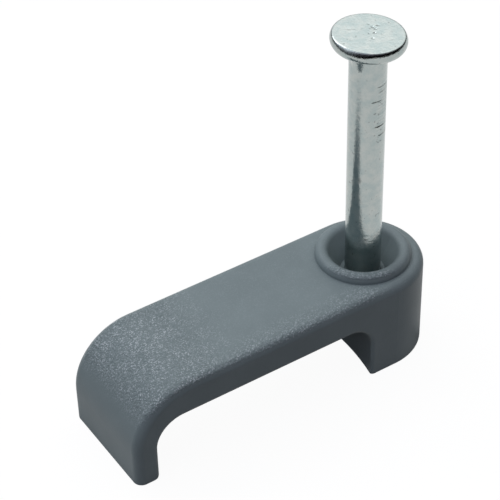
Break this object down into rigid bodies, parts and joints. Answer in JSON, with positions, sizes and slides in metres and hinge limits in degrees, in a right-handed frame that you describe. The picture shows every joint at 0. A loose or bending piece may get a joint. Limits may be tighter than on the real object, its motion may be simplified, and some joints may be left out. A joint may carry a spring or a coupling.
{
  "type": "nail-in cable clip",
  "caption": "Moulded grey strap with a hooked leg and a round boss that fixes flat cables to a wall, with a steel nail standing ready in a rimmed cup on the boss.",
  "frame": {"origin": "the nail's axis where it meets the wall, on the plane of the two feet", "axes": "+Z out of the wall along the nail, +X from the hook towards the boss, +Y along the cables"},
  "size_m": [0.0237, 0.0078, 0.0236],
  "materials": {
    "clip_plastic": "fine spark-eroded grain on the bend and bar, smooth sides",
    "nail_steel": "bright zinc plate with faint drawing marks"
  },
  "bodies": {
    "root": {"clip": "clip_plastic", "nail": "nail_steel"}
  },
  "joints": []
}
